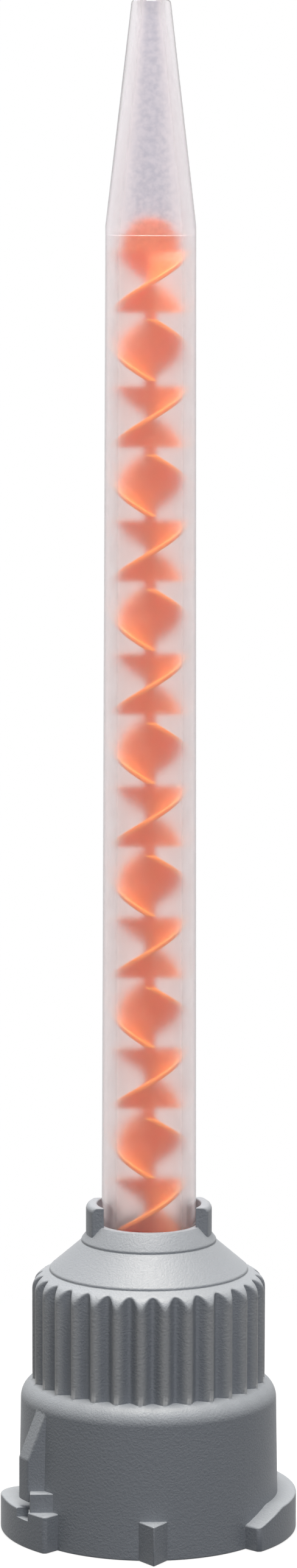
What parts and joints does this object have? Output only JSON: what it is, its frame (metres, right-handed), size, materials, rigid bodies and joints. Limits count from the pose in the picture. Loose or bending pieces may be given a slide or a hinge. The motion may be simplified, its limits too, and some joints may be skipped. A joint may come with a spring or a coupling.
{
  "type": "static mixer",
  "caption": "Static mixing nozzle: translucent tapered tube round alternating helical blades, with an inlet plug and a fluted bayonet nut that turns on its neck.",
  "frame": {"origin": "centre of the nut's foot, on the surface that the mixer stands on", "axes": "+Z along the tube towards the outlet, -Y towards the nut's front pointer, X through the two ears and the two inlet sockets"},
  "size_m": [0.0392, 0.0396, 0.2001],
  "materials": {
    "nut_plastic": "mid-grey moulded plastic with a fine even mould texture",
    "tube_plastic": "translucent natural plastic, slightly frosted",
    "element_plastic": "orange moulded plastic",
    "plug_plastic": "orange moulded plastic"
  },
  "bodies": {
    "nut": {"retaining_nut": "nut_plastic"},
    "mixer": {"mixer_tube": "tube_plastic", "mixing_element": "element_plastic", "inlet_plug": "plug_plastic"}
  },
  "joints": [
    {"name": "nut_turn", "type": "hinge", "parent": "nut", "child": "mixer", "pos_m": [0, 0, 0.0385], "axis": [0, 0, 1], "continuous": true}
  ]
}
